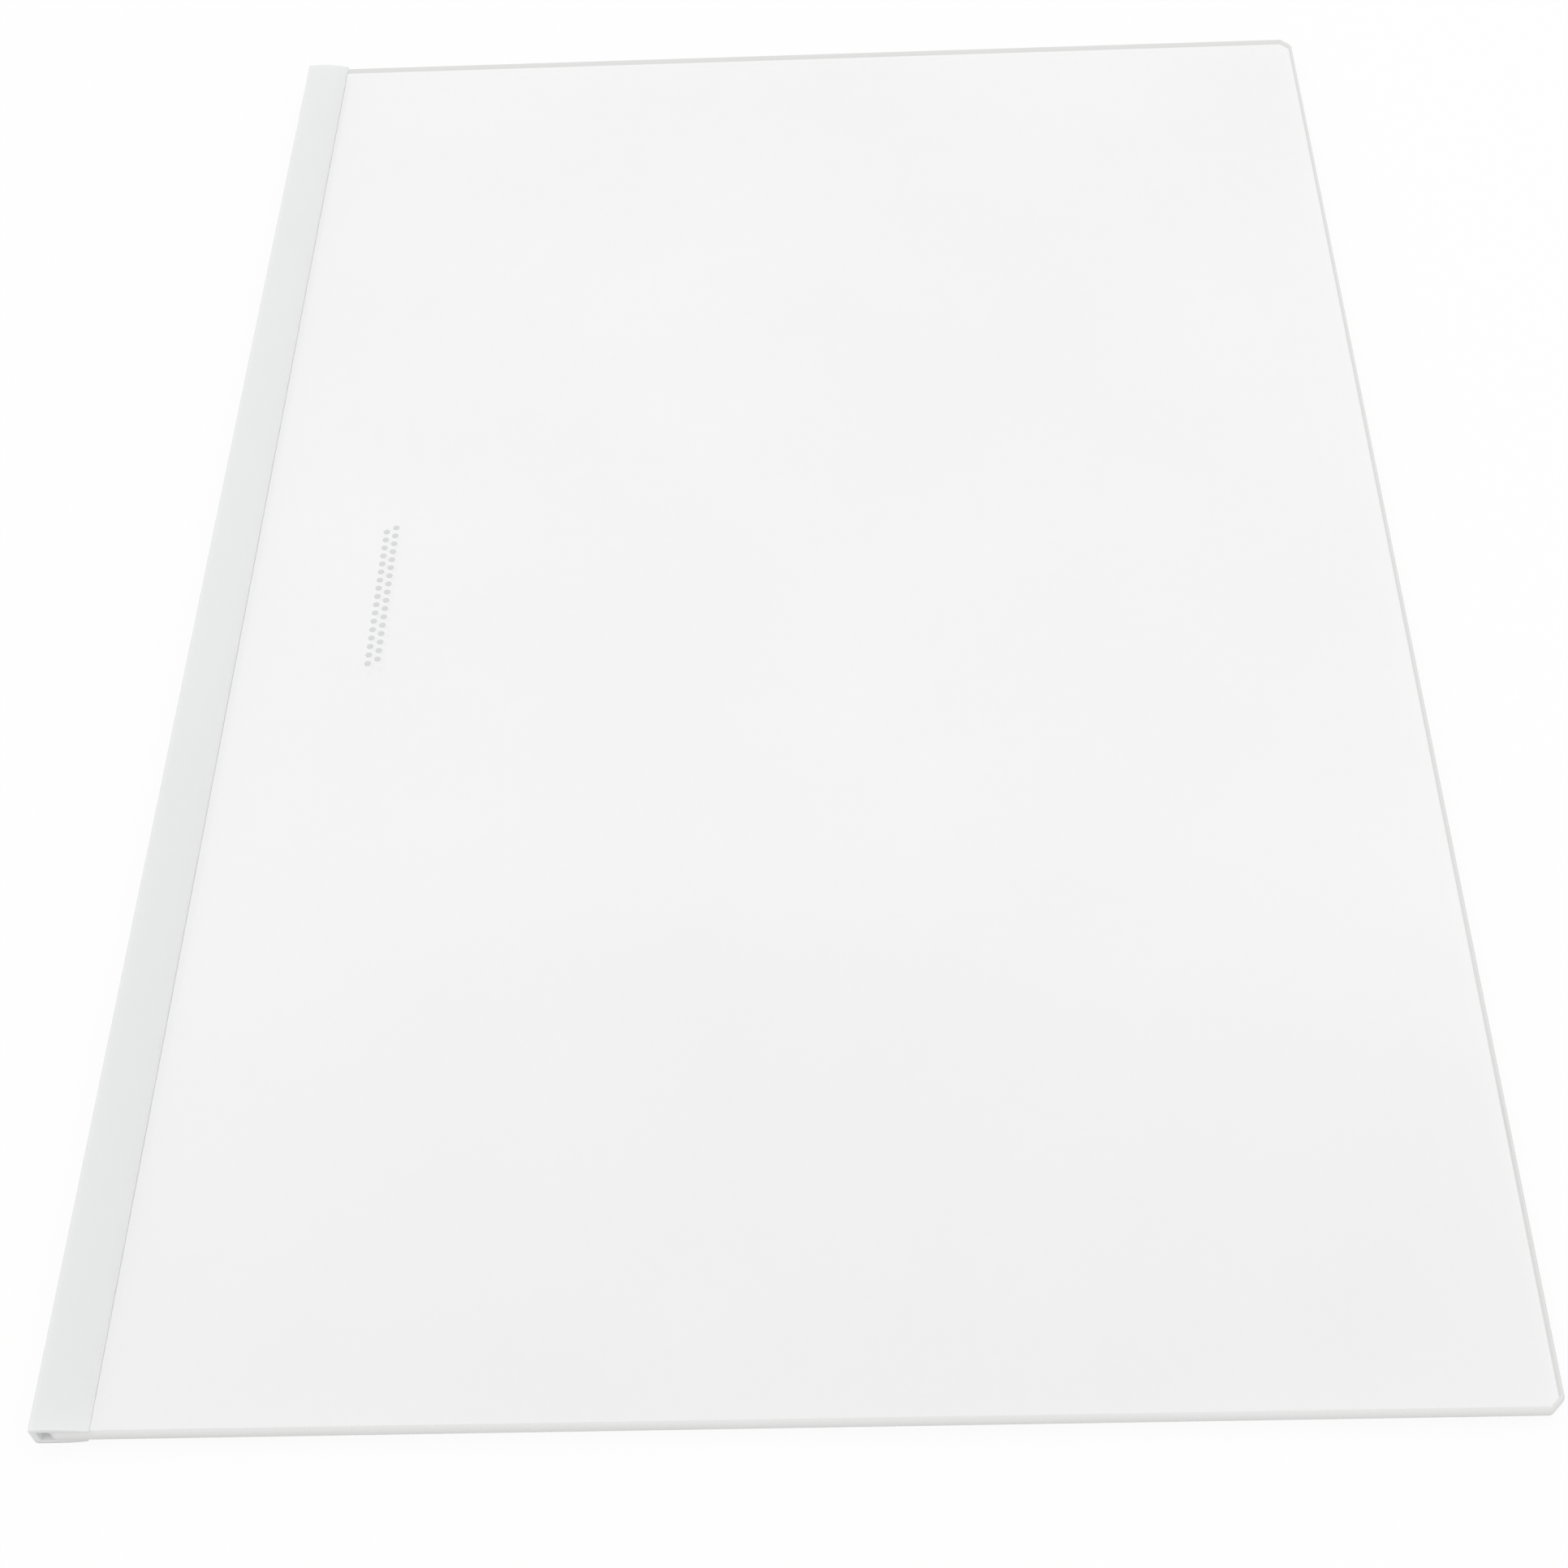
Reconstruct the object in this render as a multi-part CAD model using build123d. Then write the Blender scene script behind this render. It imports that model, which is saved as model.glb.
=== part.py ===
from build123d import *
import os

# Fridge shelf: a flat pane of toughened glass with a white plastic trim pushed over its front edge.
# Millimetres. X runs along the trim, Y from front to back, Z up.
# The origin is the middle of the shelf, at the level of the trim's underside.

# Glass pane: overall size, then how far the ground edge bulges past the outline of the flat faces
pane_width = 475.0
pane_depth = 322.0
pane_thickness = 4.0
edge_bulge = 1.0

# Clipped corners of the pane: the length taken off each side and the radius that eases the cut's ends
corner_clip = 3.2
corner_blend = 1.5

# Trim section: how far the two legs and the crest of the top reach back from the front of the nose
upper_leg_reach = 13.0
lower_leg_reach = 11.7
crest_reach = 3.5

# Trim section: walls in front of the slot, over it at the nose and at the crest, and under it
nose_wall = 1.5
shoulder_wall = 1.55
crest_wall = 1.7
lower_wall = 1.3

# Trim section: thin lips at the ends of the two legs
upper_lip = 0.55
lower_lip = 0.5

# Trim section: flat width of the underside before it sweeps up to the lower lip
underside_flat = 5.5

# Trim section: radii of the nose, of the lips and of the two inner corners of the slot
nose_round = 1.2
lip_round = 0.35
slot_round = 0.3

# Cut ends of the trim: how far they stand back from the pane's sides, and the softening of their rims
end_setback = 0.5
end_round = 0.2

# Fit of the pane in the trim: play across the thickness, and the gap between the nose and the pane's edge
slot_play = 0.1
nose_gap = 0.3

# Levels of the slot and of the pane, up from the underside of the trim
slot_floor = lower_wall
slot_roof = slot_floor + pane_thickness + slot_play
pane_underside = slot_floor + slot_play / 2

# Places from front to back, with the shelf centred on the origin
shelf_depth = nose_wall + nose_gap + pane_depth
shelf_front = -shelf_depth / 2
pane_front = shelf_front + nose_wall + nose_gap
pane_middle = pane_front + pane_depth / 2


def make_glass_pane():
    """The pane: a slab with flat faces, and a bulged ground edge swept all round it."""
    blank = chamfer(Rectangle(pane_width, pane_depth).vertices(), corner_clip)
    blank = fillet(blank.vertices(), corner_blend)
    flat_face = offset(blank, -edge_bulge)
    slab = extrude(flat_face, pane_thickness)

    # The edge's section stands at the start of the outline: local X is up, local Y points out of the pane
    outline = flat_face.face().outer_wire()
    start = outline @ 0
    along = outline % 0
    upright = Plane(origin=start, x_dir=(0, 0, 1), z_dir=along)
    top = upright.from_local_coords((pane_thickness, 0))
    bulge = upright.from_local_coords((pane_thickness / 2, edge_bulge))
    arc = ThreePointArc(start, bulge, top)
    edge_section = make_face([arc, Line(top, start)])
    edge = sweep(edge_section, path=outline)

    return Pos(0, pane_middle, pane_underside) * (slab + edge)


def trim_section():
    """The trim's C-shaped section, with the nose at local X 0 and the underside at local Y 0."""
    crest = (crest_reach, slot_roof + crest_wall)
    nose_top = (0, slot_roof + shoulder_wall)
    nose_foot = (0, 0)
    flat_end = (underside_flat, 0)
    lower_lip_foot = (lower_leg_reach, slot_floor - lower_lip)
    lower_lip_top = (lower_leg_reach, slot_floor)
    slot_low = (nose_wall, slot_floor)
    slot_high = (nose_wall, slot_roof)
    upper_lip_foot = (upper_leg_reach, slot_roof)
    upper_lip_top = (upper_leg_reach, slot_roof + upper_lip)

    outline = [
        TangentArc(crest, nose_top, tangent=(-1, 0)),
        Line(nose_top, nose_foot),
        Line(nose_foot, flat_end),
        TangentArc(flat_end, lower_lip_foot, tangent=(1, 0)),
        Line(lower_lip_foot, lower_lip_top),
        Line(lower_lip_top, slot_low),
        Line(slot_low, slot_high),
        Line(slot_high, upper_lip_foot),
        Line(upper_lip_foot, upper_lip_top),
        TangentArc(crest, upper_lip_top, tangent=(1, 0)),
    ]
    section = make_face(outline)
    section = round_corners(section, [nose_top, nose_foot], nose_round)
    section = round_corners(section, [upper_lip_top, lower_lip_foot], lip_round)
    return round_corners(section, [slot_low, slot_high], slot_round)


def round_corners(section, corners, radius):
    """Rounds the corners of a section that stand at the given points."""
    for corner in corners:
        nearest = section.vertices().sort_by_distance((*corner, 0))[0]
        section = fillet(nearest, radius)
    return section


def make_front_trim():
    """The trim: its section run along the pane's front edge, with the rims of both cut ends softened."""
    half_length = pane_width / 2 - end_setback
    strip = extrude(Plane.YZ * trim_section(), half_length, both=True)
    strip = Pos(0, shelf_front, 0) * strip
    ends = strip.faces().filter_by(Axis.X)
    rims = ends.edges()
    return fillet(rims, end_round)


os.makedirs("parts", exist_ok=True)
export_step(make_glass_pane(), "parts/glass_pane.step")
export_step(make_front_trim(), "parts/front_trim.step")
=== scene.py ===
"""Fridge glass shelf: a clear pane with ground edges, a white front trim and a small print, modelled around
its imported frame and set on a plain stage."""

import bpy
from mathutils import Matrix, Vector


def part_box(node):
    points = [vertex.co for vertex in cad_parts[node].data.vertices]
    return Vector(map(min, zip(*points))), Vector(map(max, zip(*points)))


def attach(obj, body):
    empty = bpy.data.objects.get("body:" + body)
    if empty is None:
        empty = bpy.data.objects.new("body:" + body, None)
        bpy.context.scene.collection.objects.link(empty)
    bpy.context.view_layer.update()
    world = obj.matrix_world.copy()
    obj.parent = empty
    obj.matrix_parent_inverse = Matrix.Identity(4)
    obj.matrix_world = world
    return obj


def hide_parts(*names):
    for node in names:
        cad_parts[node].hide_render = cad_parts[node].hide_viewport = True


bl_info = {
    "name": "Fridge Glass Shelf",
    "version": (1, 0, 0),
    "blender": (4, 5, 0),
    "location": "3D View > Sidebar > Shelf",
    "description": "Models and finishes a fridge glass shelf around its packed frame",
    "category": "Object",
}

import math

import bmesh
import bpy
from bpy.props import FloatProperty, FloatVectorProperty, IntProperty, PointerProperty
from bpy.types import Operator, Panel, PropertyGroup
from mathutils import Matrix, Vector

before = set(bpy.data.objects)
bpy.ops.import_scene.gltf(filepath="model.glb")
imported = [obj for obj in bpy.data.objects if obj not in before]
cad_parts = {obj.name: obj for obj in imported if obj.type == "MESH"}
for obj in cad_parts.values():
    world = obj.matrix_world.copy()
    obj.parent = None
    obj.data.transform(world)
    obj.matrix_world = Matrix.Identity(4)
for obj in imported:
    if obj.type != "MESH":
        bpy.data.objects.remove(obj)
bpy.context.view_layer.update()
PANE_LOW, PANE_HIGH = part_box("glass_pane")
TRIM_LOW, TRIM_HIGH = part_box("front_trim")

MM = 0.001
RIGHT_ANGLE = math.radians(90)

# Points closer than the first of these are one place, and vertices closer than the second are merged
TOUCH = 0.01 * MM
WELD = 0.001 * MM

# Faces that meet at less than this angle are shaded as one smooth surface
SMOOTH_ANGLE = math.radians(30)

# Profile that makes a bevel evenly round
ROUND_PROFILE = 0.5

# Refractive index of float glass
GLASS_IOR = 1.52

# Width of the camera's sensor, in millimetres
SENSOR_WIDTH = 36.0

# Sockets that share their names with others of their node, and so go by number: those of the Mix node's
# colour form, of the Mix Shader node, and of the nodes that work out one value from two
MIX_FACTOR, MIX_A, MIX_B, MIX_RESULT = 0, 6, 7, 2
BLEND_FACTOR, BLEND_A, BLEND_B = 0, 1, 2
FIRST, SECOND = 0, 1


# Makers of properties

def linear(hex_colour):
    """Turns an sRGB hex colour into linear red, green and blue, by the curve of the sRGB standard."""
    channels = [int(hex_colour[start:start + 2], 16) / 255 for start in (1, 3, 5)]
    return tuple(c / 12.92 if c <= 0.04045 else ((c + 0.055) / 1.055) ** 2.4 for c in channels)


def length(name, description, size):
    """A length property, in metres."""
    return FloatProperty(name=name, description=description, default=size, precision=5, unit="LENGTH")


def place(name, description, point):
    """A point property, in metres."""
    return FloatVectorProperty(
        name=name, description=description, default=point, subtype="XYZ", unit="LENGTH")


def power(name, description, watts):
    """A lamp's power property, in watts."""
    return FloatProperty(name=name, description=description, default=watts, unit="POWER")


def colour(name, description, hex_colour):
    """A colour property, with its default given as an sRGB hex value."""
    return FloatVectorProperty(
        name=name, description=description, default=(*linear(hex_colour), 1.0), size=4, min=0.0, max=1.0,
        subtype="COLOR")


def level(name, description, share):
    """A plain number property that is never negative."""
    return FloatProperty(name=name, description=description, default=share, min=0.0)


# Sizes and colours that a user would change

class PaneSettings(PropertyGroup):
    """The glass pane's edge, corners and tints."""
    edge_bulge: length("Edge bulge", "How far the ground edge stands out past the flat faces", 1.0 * MM)
    corner_clip: length("Corner clip", "Length that each clipped corner takes off a side", 3.2 * MM)
    corner_blend: length("Corner blend", "Radius that eases both ends of a clipped corner", 1.5 * MM)
    face_tint: colour("Face tint", "What the clear faces let through", "#fcfcfc")
    # The second tint is a painted reflection: the slightly darker tone of large soft patches that stand in
    # for uneven reflections of the room
    painted_reflection_tint: colour("Painted reflection tint", "What the faces let through under a breath of haze", "#f8f8f8")
    edge_tint: colour("Edge tint", "Pale tone of the ground edge", "#f2f2f1")
    edge_shade: colour("Edge shade", "Darker tone between the grains of the ground edge", "#eaebea")
    edge_glow: colour("Edge glow", "Tone of the light that comes through the ground edge", "#e3e3e2")


class TrimSettings(PropertyGroup):
    """The front trim's section, rounds and colours."""
    slot_play: length("Slot play", "Play of the pane across the slot", 0.1 * MM)
    nose_wall: length("Nose wall", "Thickness of the wall in front of the pane", 1.5 * MM)
    shoulder_wall: length("Shoulder wall", "Thickness of the upper leg over the nose", 1.55 * MM)
    crest_reach: length("Crest reach", "How far behind the nose the top is highest", 3.5 * MM)
    upper_lip: length("Upper lip", "Thickness of the upper leg at its lip", 0.55 * MM)
    lower_lip: length("Lower lip", "Thickness of the lower leg at its lip", 0.5 * MM)
    lower_setback: length(
        "Lower setback", "How much shorter the lower leg is than the upper one", 1.3 * MM)
    underside_flat: length("Underside flat", "Flat width of the underside behind the nose", 5.5 * MM)
    nose_round: length("Nose round", "Radius of the nose's two outer corners", 1.2 * MM)
    lip_round: length("Lip round", "Radius of the lips' outer corners", 0.35 * MM)
    slot_round: length("Slot round", "Radius of the slot's two inner corners", 0.3 * MM)
    end_round: length("End round", "Softened rim of the two cut ends", 0.2 * MM)
    plastic: colour("Plastic", "Body colour of the trim", "#eeefef")
    plastic_shade: colour("Plastic shade", "Slightly deeper tone in patches along the strip", "#ebecec")
    soak: level("Soak", "Share of the light that soaks into the plastic before it comes back", 1.0)


class PrintSettings(PropertyGroup):
    """The small print on the pane: two staggered rows of dots."""
    start: place(
        "Start", "Middle of the first dot, on the pane's upper face", (-0.0256, -0.1110, PANE_HIGH.z))
    dot: length("Dot", "Diameter of a dot", 1.8 * MM)
    pitch: length("Pitch", "Distance from one dot to the next in a row", 3.0 * MM)
    row_gap: length("Row gap", "Distance between the two rows", 2.5 * MM)
    count: IntProperty(
        name="Dots in a row", description="How many dots each row has", default=17, min=2)
    ink: length("Ink", "How far the print stands above the glass", 0.02 * MM)
    enamel: colour("Enamel", "Colour of the print", "#d8dad9")
    enamel_thin: colour("Thin enamel", "Colour where the print went on thinly", "#dfe1e0")


class StageSettings(PropertyGroup):
    """Floor, light and camera."""
    floor_tone: colour("Floor", "Colour of the floor's matte paint", "#fafaf9")
    floor_bounce: colour(
        "Floor bounce", "Tone in which the floor lights the shelf from below", "#b5b5b4")
    backdrop: colour(
        "Backdrop", "White of the floor and the surroundings, as seen and mirrored", "#ffffff")
    white_share: level(
        "White share", "Share of the floor's look that is plain white, the rest being lit paint", 0.9)
    sky_level: level("Sky level", "Mean strength of the light from all round", 0.75)
    sky_lean: FloatVectorProperty(
        name="Sky lean", description="Side from which more light comes, and how much more",
        default=(-0.12, -0.12, 0.25), subtype="DIRECTION")
    ceiling_level: level(
        "Ceiling level", "How bright the ceiling is mirrored, beside the white walls", 0.3)
    key_power: power("Key power", "Power of the large soft lamp", 3.0)
    key_size: length("Key size", "Width of the large soft lamp", 1.0)
    key_place: place("Key place", "Where the large soft lamp hangs", (-0.5, 1.2, 1.1))
    fill_power: power("Fill power", "Power of the low soft lamp", 1.2)
    fill_width: length("Fill width", "Width of the low soft lamp", 0.6)
    fill_height: length("Fill height", "Height of the low soft lamp", 0.1)
    fill_place: place("Fill place", "Where the low soft lamp stands", (1.1, 0.15, 0.06))
    camera_place: place("Camera place", "Where the camera stands", (0.4436, 0.0218, 0.4892))
    camera_aim: place("Camera aim", "Point that the camera looks at", (0.0637, 0.0050, 0.0))
    camera_roll: FloatProperty(
        name="Camera roll", description="Turn of the camera about its line of sight",
        default=math.radians(-3.35), subtype="ANGLE")
    camera_lens: FloatProperty(
        name="Camera lens", description="Focal length of the camera", default=55.69, unit="CAMERA")
    camera_shift: FloatProperty(
        name="Camera shift", description="Sideways shift of the lens, as a share of the picture",
        default=-0.02)


# Modelling helpers

def add_sheet(name, middle, width, depth, turn=(0.0, 0.0, 0.0)):
    """Adds a flat rectangle as a piece, with its size and place in its mesh, and opens it for editing."""
    bpy.ops.object.select_all(action="DESELECT")
    bpy.ops.mesh.primitive_plane_add(size=1.0, location=middle, rotation=turn)
    piece = bpy.context.object
    piece.name = name
    piece.data.name = name
    piece.scale = (width, depth, 1.0)
    bpy.ops.object.transform_apply(location=True, rotation=True, scale=True)
    bpy.ops.object.mode_set(mode="EDIT")
    return piece


def select(piece, kind, test):
    """Selects, in edit mode, the vertices, edges or faces that pass a test, and nothing else."""
    bpy.ops.mesh.select_mode(type=kind)
    bpy.ops.mesh.select_all(action="DESELECT")
    mesh = bmesh.from_edit_mesh(piece.data)
    items = {"VERT": mesh.verts, "EDGE": mesh.edges, "FACE": mesh.faces}[kind]
    found = [item for item in items if test(item)]
    if not found:
        raise RuntimeError(f"{piece.name}: found no {kind.lower()} to work on")
    for item in found:
        item.select_set(True)
    mesh.select_flush_mode()
    bmesh.update_edit_mesh(piece.data)


def select_corner(piece, corner):
    """Selects the vertex that stands at a point."""
    select(piece, "VERT", lambda vert: (vert.co - corner).length < TOUCH)


def bevel_corners(reach, steps):
    """Bevels the selected corners of a flat outline, each by the same reach along both of its sides."""
    bpy.ops.mesh.bevel(
        affect="VERTICES", offset_type="ABSOLUTE", offset=reach, segments=steps, profile=ROUND_PROFILE)


def round_corner(piece, corner, radius, turn, steps):
    """Rounds the corner of a flat outline that stands at a point, where its course changes by turn."""
    select_corner(piece, corner)
    bevel_corners(radius * math.tan(turn / 2), steps)


def divide_edge(piece, start, end, cuts):
    """Cuts the straight edge between two points into even lengths, and returns the new points in order."""
    def at_an_end(vert):
        return min((vert.co - start).length, (vert.co - end).length) < TOUCH

    select(piece, "EDGE", lambda edge: all(at_an_end(vert) for vert in edge.verts))
    bpy.ops.mesh.subdivide(number_cuts=cuts)
    return [start.lerp(end, step / (cuts + 1)) for step in range(1, cuts + 1)]


def arc_radius(run, rise):
    """Radius of an arc that sets off along a straight line and has left it by rise after a run."""
    return (run ** 2 + rise ** 2) / (2 * rise)


def close_piece(piece, node=None):
    """Ends the editing of a piece: checks that it is closed, smooths it and ties it to the shelf."""
    bpy.ops.mesh.select_all(action="SELECT")
    bpy.ops.mesh.remove_doubles(threshold=WELD)
    bpy.ops.mesh.normals_make_consistent(inside=False)
    mesh = bmesh.from_edit_mesh(piece.data)
    if any(len(edge.link_faces) != 2 for edge in mesh.edges):
        raise RuntimeError(f"{piece.name}: the surface is not closed")
    bpy.ops.object.mode_set(mode="OBJECT")
    bpy.ops.object.shade_smooth_by_angle(angle=SMOOTH_ANGLE)
    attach(piece, "root")
    if node:
        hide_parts(node)


# Materials

def add_node(tree, kind, inputs=None, **settings):
    """Adds one shader node: settings are its own properties, inputs are values or links for its sockets."""
    node = tree.nodes.new(kind)
    for name, value in settings.items():
        setattr(node, name, value)
    for socket, value in (inputs or {}).items():
        if isinstance(value, bpy.types.NodeSocket):
            tree.links.new(value, node.inputs[socket])
        else:
            node.inputs[socket].default_value = value
    return node


def start_tree(owner):
    """Empties the node tree of a material or world, and returns it."""
    owner.use_nodes = True
    owner.node_tree.nodes.clear()
    return owner.node_tree


def float_glass(tints):
    """Clear toughened float glass. Its faces set on molten tin and were never ground, so they are clear and
    mirror-flat. Toughening leaves a long, faint roll in them. Large soft patches of a slightly darker tint
    are painted in as uneven reflections of the room."""
    material = bpy.data.materials.new("float_glass_fire_polished")
    tree = start_tree(material)
    reflection_patch = 90 * MM
    roller_wave = 55 * MM
    wave_height = 0.004 * MM
    where = add_node(tree, "ShaderNodeTexCoord").outputs["Object"]
    # Painted reflections: soft patches where the faces let through a slightly darker tint, in place of
    # uneven reflections of the room
    painted_reflection = add_node(
        tree, "ShaderNodeTexNoise", {"Vector": where, "Scale": 1 / reflection_patch, "Detail": 3.0})
    tint = add_node(
        tree, "ShaderNodeMix",
        {MIX_FACTOR: painted_reflection.outputs["Fac"], MIX_A: tints.face_tint, MIX_B: tints.painted_reflection_tint},
        data_type="RGBA")
    roll = add_node(
        tree, "ShaderNodeTexNoise", {"Vector": where, "Scale": 1 / roller_wave, "Detail": 0.0})
    relief = add_node(
        tree, "ShaderNodeBump", {"Height": roll.outputs["Fac"], "Distance": wave_height})
    shader = add_node(
        tree, "ShaderNodeBsdfPrincipled",
        {"Base Color": tint.outputs[MIX_RESULT], "Normal": relief.outputs["Normal"],
         "Roughness": 0.0, "IOR": GLASS_IOR, "Transmission Weight": 1.0})
    add_node(tree, "ShaderNodeOutputMaterial", {"Surface": shader.outputs["BSDF"]})
    return material


def ground_glass(tints):
    """The pane's edge, ground round with a diamond wheel. The wheel leaves a fine even grit, which looks
    like pale chalk from outside and glows softly, as frosted glass does, when seen through the pane."""
    material = bpy.data.materials.new("float_glass_ground_edge")
    tree = start_tree(material)
    # The real grit is about 0.05 mm, too fine to show, so it is drawn ten times as coarse
    grit = 0.5 * MM
    grit_height = 0.02 * MM
    smoothest, roughest = 0.45, 0.6
    where = add_node(tree, "ShaderNodeTexCoord").outputs["Object"]
    grain = add_node(
        tree, "ShaderNodeTexNoise", {"Vector": where, "Scale": 1 / grit, "Detail": 2.0})
    tint = add_node(
        tree, "ShaderNodeMix",
        {MIX_FACTOR: grain.outputs["Fac"], MIX_A: tints.edge_tint, MIX_B: tints.edge_shade},
        data_type="RGBA")
    gloss = add_node(
        tree, "ShaderNodeMapRange",
        {"Value": grain.outputs["Fac"], "To Min": smoothest, "To Max": roughest})
    relief = add_node(
        tree, "ShaderNodeBump", {"Height": grain.outputs["Fac"], "Distance": grit_height})
    chalk = add_node(
        tree, "ShaderNodeBsdfPrincipled",
        {"Base Color": tint.outputs[MIX_RESULT], "Normal": relief.outputs["Normal"],
         "Roughness": gloss.outputs["Result"], "IOR": GLASS_IOR})
    glow = add_node(tree, "ShaderNodeBsdfTranslucent", {"Color": tints.edge_glow})
    from_inside = add_node(tree, "ShaderNodeNewGeometry").outputs["Backfacing"]
    look = add_node(
        tree, "ShaderNodeMixShader",
        {BLEND_FACTOR: from_inside, BLEND_A: chalk.outputs["BSDF"], BLEND_B: glow.outputs["BSDF"]})
    add_node(tree, "ShaderNodeOutputMaterial", {"Surface": look.outputs["Shader"]})
    return material


def extruded_plastic(tones):
    """White styrene plastic, drawn through a die. The die leaves a satin gloss with hair-fine lines along
    the strip, and the cooling a slow change of tone. Light soaks a little way in, which softens shadows."""
    material = bpy.data.materials.new("white_styrene_extruded")
    tree = start_tree(material)
    # The real die lines are about 0.1 mm apart, too fine to show, so they are drawn five times as wide
    line_width = 0.5 * MM
    line_run = 400 * MM
    line_height = 0.003 * MM
    tone_patch = 60 * MM
    soak_depth = 1.5 * MM
    smoothest, roughest = 0.26, 0.38
    where = add_node(tree, "ShaderNodeTexCoord").outputs["Object"]
    drawn = add_node(
        tree, "ShaderNodeMapping",
        {"Vector": where, "Scale": (1 / line_run, 1 / line_width, 1 / line_width)})
    lines = add_node(
        tree, "ShaderNodeTexNoise", {"Vector": drawn.outputs["Vector"], "Scale": 1.0, "Detail": 2.0})
    patches = add_node(
        tree, "ShaderNodeTexNoise", {"Vector": where, "Scale": 1 / tone_patch, "Detail": 2.0})
    tone = add_node(
        tree, "ShaderNodeMix",
        {MIX_FACTOR: patches.outputs["Fac"], MIX_A: tones.plastic, MIX_B: tones.plastic_shade},
        data_type="RGBA")
    gloss = add_node(
        tree, "ShaderNodeMapRange",
        {"Value": lines.outputs["Fac"], "To Min": smoothest, "To Max": roughest})
    relief = add_node(
        tree, "ShaderNodeBump", {"Height": lines.outputs["Fac"], "Distance": line_height})
    shader = add_node(
        tree, "ShaderNodeBsdfPrincipled",
        {"Base Color": tone.outputs[MIX_RESULT], "Normal": relief.outputs["Normal"],
         "Roughness": gloss.outputs["Result"], "IOR": 1.55, "Subsurface Weight": tones.soak,
         "Subsurface Radius": (1.0, 1.0, 1.0), "Subsurface Scale": soak_depth})
    add_node(tree, "ShaderNodeOutputMaterial", {"Surface": shader.outputs["BSDF"]})
    return material


def fired_enamel(tones):
    """Grey glass enamel, screen-printed and fired on. It lies thinly and a little unevenly, with the soft
    gloss of melted glass powder."""
    material = bpy.data.materials.new("glass_enamel_screen_printed")
    tree = start_tree(material)
    # The screen's real threads are about 0.1 mm apart, too fine to show, so they are drawn 0.3 mm apart
    thread_gap = 0.3 * MM
    smoothest, roughest = 0.35, 0.5
    where = add_node(tree, "ShaderNodeTexCoord").outputs["Object"]
    grain = add_node(
        tree, "ShaderNodeTexNoise", {"Vector": where, "Scale": 1 / thread_gap, "Detail": 2.0})
    tone = add_node(
        tree, "ShaderNodeMix",
        {MIX_FACTOR: grain.outputs["Fac"], MIX_A: tones.enamel, MIX_B: tones.enamel_thin},
        data_type="RGBA")
    gloss = add_node(
        tree, "ShaderNodeMapRange",
        {"Value": grain.outputs["Fac"], "To Min": smoothest, "To Max": roughest})
    shader = add_node(
        tree, "ShaderNodeBsdfPrincipled",
        {"Base Color": tone.outputs[MIX_RESULT], "Roughness": gloss.outputs["Result"], "IOR": 1.5})
    add_node(tree, "ShaderNodeOutputMaterial", {"Surface": shader.outputs["BSDF"]})
    return material


def seen_share(tree, share=1.0):
    """A factor that is the given share for what the camera sees, also in a mirror or through glass, and 0
    for all other light."""
    path = add_node(tree, "ShaderNodeLightPath")
    seen = path.outputs["Is Camera Ray"]
    for ray in ("Is Glossy Ray", "Is Transmission Ray"):
        either = add_node(
            tree, "ShaderNodeMath", {FIRST: seen, SECOND: path.outputs[ray]}, operation="MAXIMUM")
        seen = either.outputs["Value"]
    part = add_node(tree, "ShaderNodeMath", {FIRST: seen, SECOND: share}, operation="MULTIPLY")
    return part.outputs["Value"]


def matte_floor(stage):
    """Matte white paint. It takes a soft shadow, is otherwise seen as plain white, and throws less light
    back at the shelf than it shows."""
    material = bpy.data.materials.new("white_paint_matte")
    tree = start_tree(material)
    tone = add_node(
        tree, "ShaderNodeMix",
        {MIX_FACTOR: seen_share(tree), MIX_A: stage.floor_bounce, MIX_B: stage.floor_tone},
        data_type="RGBA")
    paint = add_node(tree, "ShaderNodeBsdfDiffuse", {"Color": tone.outputs[MIX_RESULT]})
    white = add_node(tree, "ShaderNodeEmission", {"Color": stage.backdrop, "Strength": 1.0})
    look = add_node(
        tree, "ShaderNodeMixShader",
        {BLEND_FACTOR: seen_share(tree, stage.white_share), BLEND_A: paint.outputs["BSDF"],
         BLEND_B: white.outputs["Emission"]})
    add_node(tree, "ShaderNodeOutputMaterial", {"Surface": look.outputs["Shader"]})
    return material


# The pieces and the stage

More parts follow.
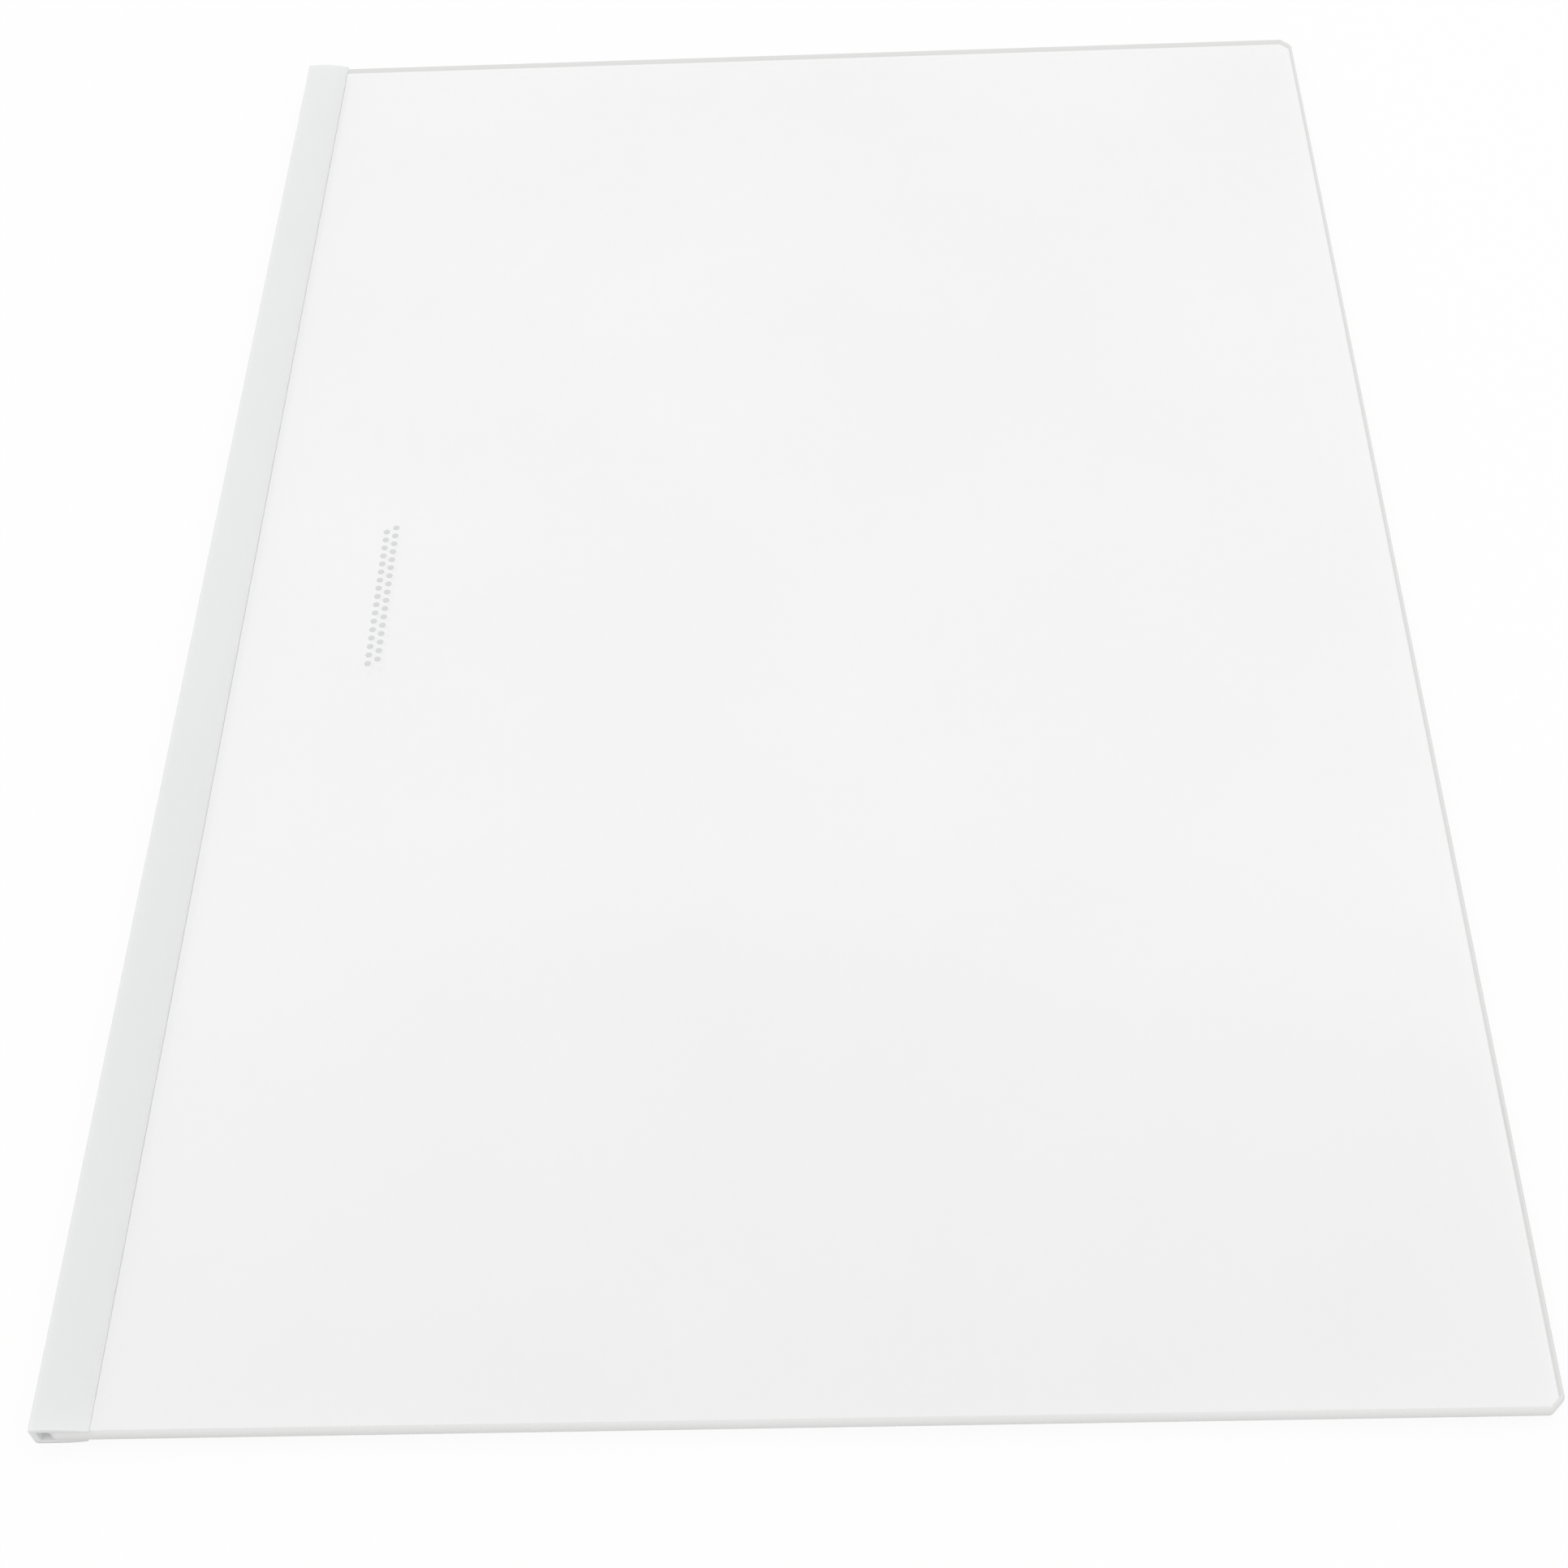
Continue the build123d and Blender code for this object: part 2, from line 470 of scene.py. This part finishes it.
class SHELF_OT_glass_pane(Operator):
    """Models the pane: a flat sheet with clipped corners and a ground edge that bulges all round it"""
    bl_idname = "shelf.glass_pane"
    bl_label = "Glass Pane"

    def execute(self, context):
        sizes = context.scene.shelf_pane
        middle = (PANE_LOW + PANE_HIGH) / 2
        size = PANE_HIGH - PANE_LOW
        pane = add_sheet("pane", middle, size.x, size.y)
        self.clip_corners(sizes)
        self.raise_ground_edge(pane, sizes.edge_bulge, size.z / 2)

        # The lower half is the upper one turned over
        bpy.ops.mesh.select_all(action="SELECT")
        bpy.ops.mesh.duplicate()
        bpy.ops.transform.resize(value=(1, 1, -1), center_override=middle)

        # The flat faces take the first material, and the ground edge, which leans from them, the second
        for material in (float_glass(sizes), ground_glass(sizes)):
            pane.data.materials.append(material)
        flat = math.cos(SMOOTH_ANGLE)
        select(pane, "FACE", lambda face: abs(face.normal.z) < flat)
        pane.active_material_index = 1
        bpy.ops.object.material_slot_assign()
        close_piece(pane, "glass_pane")
        return {"FINISHED"}

    def clip_corners(self, sizes, blend_steps=6):
        """Cuts the sheet's four corners off, in one straight step each, and eases both ends of each cut."""
        cut_turn = RIGHT_ANGLE / 2
        blend_reach = sizes.corner_blend * math.tan(cut_turn / 2)
        for reach, steps in ((sizes.corner_clip, 1), (blend_reach, blend_steps)):
            bpy.ops.mesh.select_mode(type="VERT")
            bpy.ops.mesh.select_all(action="SELECT")
            bevel_corners(reach, steps)

    def raise_ground_edge(self, pane, bulge, rise, steps=8):
        """Draws the sheet in and up in small steps, so that its edge follows the arc of the wheel."""
        radius = arc_radius(rise, bulge)
        sweep = math.asin(rise / radius)
        select(pane, "FACE", lambda face: True)
        for step in range(steps):
            low = sweep * step / steps
            high = sweep * (step + 1) / steps
            bpy.ops.mesh.inset(
                thickness=radius * (math.cos(low) - math.cos(high)),
                depth=radius * (math.sin(high) - math.sin(low)), use_even_offset=True)


class SHELF_OT_front_trim(Operator):
    """Models the trim: a C-shaped section with a crowned top, drawn out along the pane's front edge"""
    bl_idname = "shelf.front_trim"
    bl_label = "Front Trim"

    def execute(self, context):
        sizes = context.scene.shelf_trim
        slot_floor = PANE_LOW.z - sizes.slot_play / 2
        slot_roof = PANE_HIGH.z + sizes.slot_play / 2
        slot_end = TRIM_LOW.y + sizes.nose_wall
        trim = self.draw_section(slot_floor, slot_roof, slot_end)

        (nose_top, nose_slope), (lip_top, lip_slope) = self.crown_top(trim, sizes, slot_roof)
        lip_foot, foot_slope = self.shape_lower_leg(trim, sizes, slot_floor)
        nose_steps, lip_steps, slot_steps = 8, 5, 4
        rounds = (
            (nose_top, sizes.nose_round, RIGHT_ANGLE - nose_slope, nose_steps),
            (self.point(TRIM_LOW.y, TRIM_LOW.z), sizes.nose_round, RIGHT_ANGLE, nose_steps),
            (lip_top, sizes.lip_round, RIGHT_ANGLE - lip_slope, lip_steps),
            (lip_foot, sizes.lip_round, RIGHT_ANGLE - foot_slope, lip_steps),
            (self.point(slot_end, slot_floor), sizes.slot_round, RIGHT_ANGLE, slot_steps),
            (self.point(slot_end, slot_roof), sizes.slot_round, RIGHT_ANGLE, slot_steps),
        )
        for corner, radius, turn, steps in rounds:
            round_corner(trim, corner, radius, turn, steps)

        self.draw_out(trim, sizes.end_round)
        trim.data.materials.append(extruded_plastic(sizes))
        close_piece(trim, "front_trim")
        return {"FINISHED"}

    def point(self, y, z):
        """A point of the section, which stands at the trim's left end."""
        return Vector((TRIM_LOW.x, y, z))

    def draw_section(self, slot_floor, slot_roof, slot_end):
        """Cuts the slot out of an upright rectangle and merges the rest into one C-shaped face."""
        middle = self.point((TRIM_LOW.y + TRIM_HIGH.y) / 2, (TRIM_LOW.z + TRIM_HIGH.z) / 2)
        size = TRIM_HIGH - TRIM_LOW
        trim = add_sheet("trim", middle, size.z, size.y, turn=(0.0, RIGHT_ANGLE, 0.0))
        cuts = (
            (self.point(slot_end, slot_floor), (0, 1, 0)),
            (self.point(slot_end, slot_floor), (0, 0, 1)),
            (self.point(slot_end, slot_roof), (0, 0, 1)),
        )
        for through, across in cuts:
            bpy.ops.mesh.select_all(action="SELECT")
            bpy.ops.mesh.bisect(plane_co=through, plane_no=across)

        def in_slot(face):
            spot = face.calc_center_median()
            return spot.y > slot_end and slot_floor < spot.z < slot_roof

        select(trim, "FACE", in_slot)
        bpy.ops.mesh.delete(type="FACE")
        bpy.ops.mesh.select_all(action="SELECT")
        bpy.ops.mesh.dissolve_faces()
        left_by_cuts = [self.point(TRIM_LOW.y, z) for z in (slot_floor, slot_roof)]
        left_by_cuts += [self.point(slot_end, z) for z in (TRIM_LOW.z, TRIM_HIGH.z)]
        select(trim, "VERT", lambda vert: min((vert.co - spot).length for spot in left_by_cuts) < TOUCH)
        bpy.ops.mesh.dissolve_verts()
        return trim

    def crown_top(self, trim, sizes, slot_roof, cuts=25):
        """Lowers the flat top on to two arcs that meet at the crest. Returns its ends with their slopes."""
        crest = TRIM_LOW.y + sizes.crest_reach
        nose = self.point(TRIM_LOW.y, TRIM_HIGH.z)
        lip = self.point(TRIM_HIGH.y, TRIM_HIGH.z)
        nose_fall = TRIM_HIGH.z - slot_roof - sizes.shoulder_wall
        lip_fall = TRIM_HIGH.z - slot_roof - sizes.upper_lip
        nose_radius = arc_radius(crest - nose.y, nose_fall)
        lip_radius = arc_radius(lip.y - crest, lip_fall)
        for spot in (nose, *divide_edge(trim, nose, lip, cuts), lip):
            radius = nose_radius if spot.y < crest else lip_radius
            fall = radius - math.sqrt(radius ** 2 - (spot.y - crest) ** 2)
            select_corner(trim, spot)
            bpy.ops.transform.translate(value=(0, 0, -fall))
        return (
            (nose - Vector((0, 0, nose_fall)), math.asin((crest - nose.y) / nose_radius)),
            (lip - Vector((0, 0, lip_fall)), math.asin((lip.y - crest) / lip_radius)),
        )

    def shape_lower_leg(self, trim, sizes, slot_floor, cuts=13):
        """Shortens the lower leg and sweeps it up to its lip. Returns the lip's foot and its slope there."""
        lip = TRIM_HIGH.y - sizes.lower_setback
        lip_foot = self.point(lip, slot_floor - sizes.lower_lip)
        moves = (
            (self.point(TRIM_HIGH.y, TRIM_LOW.z), lip_foot),
            (self.point(TRIM_HIGH.y, slot_floor), self.point(lip, slot_floor)),
        )
        for corner, target in moves:
            select_corner(trim, corner)
            bpy.ops.transform.translate(value=target - corner)

        flat_end = TRIM_LOW.y + sizes.underside_flat
        run = lip - flat_end
        radius = arc_radius(run, lip_foot.z - TRIM_LOW.z)
        for spot in divide_edge(trim, self.point(TRIM_LOW.y, TRIM_LOW.z), lip_foot, cuts):
            past_flat = max(0.0, spot.y - flat_end)
            level_here = TRIM_LOW.z + radius - math.sqrt(radius ** 2 - past_flat ** 2)
            select_corner(trim, spot)
            bpy.ops.transform.translate(value=(0, 0, level_here - spot.z))
        return lip_foot, math.asin(run / radius)

    def draw_out(self, trim, end_round, steps=3):
        """Draws the section out along the pane's front edge and softens the rims of both cut ends."""
        run = TRIM_HIGH.x - TRIM_LOW.x
        bpy.ops.mesh.select_all(action="SELECT")
        bpy.ops.mesh.extrude_region_move(TRANSFORM_OT_translate={"value": (run, 0, 0)})
        bpy.ops.mesh.select_all(action="SELECT")
        bpy.ops.mesh.normals_make_consistent(inside=False)
        select(trim, "EDGE", lambda edge: abs(edge.verts[0].co.x - edge.verts[1].co.x) < TOUCH)
        bpy.ops.mesh.bevel(affect="EDGES", offset=end_round, segments=steps, profile=ROUND_PROFILE)


class SHELF_OT_printed_dots(Operator):
    """Models the print: two staggered rows of thin enamel dots on the pane's upper face"""
    bl_idname = "shelf.printed_dots"
    bl_label = "Printed Dots"

    def execute(self, context):
        sizes = context.scene.shelf_print
        dots = self.make_dot(sizes)
        rows = 2
        repeats = (
            (sizes.count, (sizes.pitch, 0, 0)),
            (rows, (sizes.pitch / 2, -sizes.row_gap, 0)),
        )
        for count, offset in repeats:
            repeat = dots.modifiers.new("repeat", "ARRAY")
            repeat.count = count
            repeat.use_relative_offset = False
            repeat.use_constant_offset = True
            repeat.constant_offset_displace = offset
            bpy.ops.object.modifier_apply(modifier=repeat.name)
        bpy.ops.object.mode_set(mode="EDIT")
        dots.data.materials.append(fired_enamel(sizes))
        close_piece(dots)
        return {"FINISHED"}

    def make_dot(self, sizes, sides=24, rim_steps=2):
        """The first dot, with a softened rim. It is rooted as deep in the glass as it stands out of it, so
        that no two faces share a plane."""
        bpy.ops.object.select_all(action="DESELECT")
        bpy.ops.mesh.primitive_cylinder_add(
            vertices=sides, radius=sizes.dot / 2, depth=2 * sizes.ink, location=sizes.start)
        dot = bpy.context.object
        dot.name = "printed_dots"
        dot.data.name = "printed_dots"
        bpy.ops.object.transform_apply(location=True, rotation=True, scale=True)
        bpy.ops.object.mode_set(mode="EDIT")
        top = sizes.start[2] + sizes.ink / 2
        select(dot, "FACE", lambda face: face.calc_center_median().z > top)
        bpy.ops.mesh.bevel(
            affect="EDGES", offset=sizes.ink / 2, segments=rim_steps, profile=ROUND_PROFILE)
        bpy.ops.object.mode_set(mode="OBJECT")
        return dot


class SHELF_OT_studio(Operator):
    """Sets the stage: a plain pale floor, soft light from all round and from two lamps, and the camera"""
    bl_idname = "shelf.studio"
    bl_label = "Studio"

    def execute(self, context):
        stage = context.scene.shelf_stage
        self.lay_floor(stage)
        self.light_sky(context.scene, stage)
        self.hang_lamps(stage)
        self.set_camera(context.scene, stage)
        context.scene.view_settings.view_transform = "Standard"
        return {"FINISHED"}

    def lay_floor(self, stage, width=12.0, gap=0.02 * MM):
        """A wide floor a hair below the trim's underside."""
        bpy.ops.object.select_all(action="DESELECT")
        bpy.ops.mesh.primitive_plane_add(size=width, location=(0, 0, TRIM_LOW.z - gap))
        floor = bpy.context.object
        floor.name = "floor"
        floor.data.materials.append(matte_floor(stage))

    def light_sky(self, scene, stage, wall_top=0.8, ceiling_edge=0.94):
        """Soft light from all round, a little more of it from one side. It is seen and mirrored as white
        walls, which turn into a dimmer ceiling between two heights, where 1 is straight up."""
        scene.world = bpy.data.worlds.new("soft_box")
        tree = start_tree(scene.world)
        towards = add_node(tree, "ShaderNodeTexCoord").outputs["Generated"]
        rise = add_node(tree, "ShaderNodeSeparateXYZ", {"Vector": towards}).outputs["Z"]
        ceiling = add_node(
            tree, "ShaderNodeMapRange",
            {"Value": rise, "From Min": wall_top, "From Max": ceiling_edge, "To Min": 1.0,
             "To Max": stage.ceiling_level})
        lean = add_node(
            tree, "ShaderNodeVectorMath", {FIRST: towards, SECOND: stage.sky_lean},
            operation="DOT_PRODUCT")
        sky = add_node(
            tree, "ShaderNodeMath", {FIRST: lean.outputs["Value"], SECOND: stage.sky_level},
            operation="ADD")
        lit = add_node(
            tree, "ShaderNodeBackground", {"Color": stage.backdrop, "Strength": sky.outputs["Value"]})
        room = add_node(
            tree, "ShaderNodeBackground",
            {"Color": stage.backdrop, "Strength": ceiling.outputs["Result"]})
        look = add_node(
            tree, "ShaderNodeMixShader",
            {BLEND_FACTOR: seen_share(tree), BLEND_A: lit.outputs["Background"],
             BLEND_B: room.outputs["Background"]})
        add_node(tree, "ShaderNodeOutputWorld", {"Surface": look.outputs["Shader"]})

    def hang_lamps(self, stage):
        """A large soft lamp on the rear edge's side and a low one beyond the right end, both turned to the
        middle of the shelf. They light it, but are neither seen nor mirrored."""
        lamps = (
            ("key_lamp", stage.key_place, stage.key_power, stage.key_size, stage.key_size),
            ("fill_lamp", stage.fill_place, stage.fill_power, stage.fill_width, stage.fill_height),
        )
        for name, spot, watts, width, height in lamps:
            bpy.ops.object.light_add(type="AREA", location=spot)
            lamp = bpy.context.object
            lamp.name = name
            lamp.data.energy = watts
            lamp.data.shape = "RECTANGLE"
            lamp.data.size = width
            lamp.data.size_y = height
            lamp.rotation_mode = "QUATERNION"
            lamp.rotation_quaternion = (-Vector(spot)).to_track_quat("-Z", "Y")
            lamp.visible_camera = False
            lamp.visible_glossy = False
            lamp.visible_transmission = False

    def set_camera(self, scene, stage):
        """The camera, from its place and aim, turned about its own line of sight."""
        bpy.ops.object.camera_add()
        camera = bpy.context.object
        spot = Vector(stage.camera_place)
        facing = (Vector(stage.camera_aim) - spot).to_track_quat("-Z", "Y").to_matrix().to_4x4()
        roll = Matrix.Rotation(stage.camera_roll, 4, "Z")
        camera.matrix_world = Matrix.Translation(spot) @ facing @ roll
        camera.data.lens = stage.camera_lens
        camera.data.sensor_width = SENSOR_WIDTH
        camera.data.shift_x = stage.camera_shift
        camera.data.clip_start = 10 * MM
        scene.camera = camera


class SHELF_PT_panel(Panel):
    """Lists the shelf's pieces and stage in the sidebar"""
    bl_idname = "SHELF_PT_panel"
    bl_label = "Fridge Glass Shelf"
    bl_space_type = "VIEW_3D"
    bl_region_type = "UI"
    bl_category = "Shelf"

    def draw(self, context):
        for operator, holder, _ in STEPS:
            self.layout.operator(operator.bl_idname)
            settings = getattr(context.scene, holder)
            for name in settings.bl_rna.properties.keys():
                if name not in ("rna_type", "name"):
                    self.layout.prop(settings, name)


# Each operator with the scene property that holds its settings and their kind, in the order of making
STEPS = (
    (SHELF_OT_glass_pane, "shelf_pane", PaneSettings),
    (SHELF_OT_front_trim, "shelf_trim", TrimSettings),
    (SHELF_OT_printed_dots, "shelf_print", PrintSettings),
    (SHELF_OT_studio, "shelf_stage", StageSettings),
)


def register():
    """Registers the settings, operators and panel."""
    for operator, holder, group in STEPS:
        bpy.utils.register_class(group)
        setattr(bpy.types.Scene, holder, PointerProperty(type=group))
        bpy.utils.register_class(operator)
    bpy.utils.register_class(SHELF_PT_panel)


def unregister():
    """Takes them out again, in reverse order."""
    bpy.utils.unregister_class(SHELF_PT_panel)
    for operator, holder, group in reversed(STEPS):
        bpy.utils.unregister_class(operator)
        delattr(bpy.types.Scene, holder)
        bpy.utils.unregister_class(group)


def main():
    """Makes the pieces and the stage."""
    register()
    bpy.ops.shelf.glass_pane()
    bpy.ops.shelf.front_trim()
    bpy.ops.shelf.printed_dots()
    bpy.ops.shelf.studio()


if __name__ == "__main__":
    main()
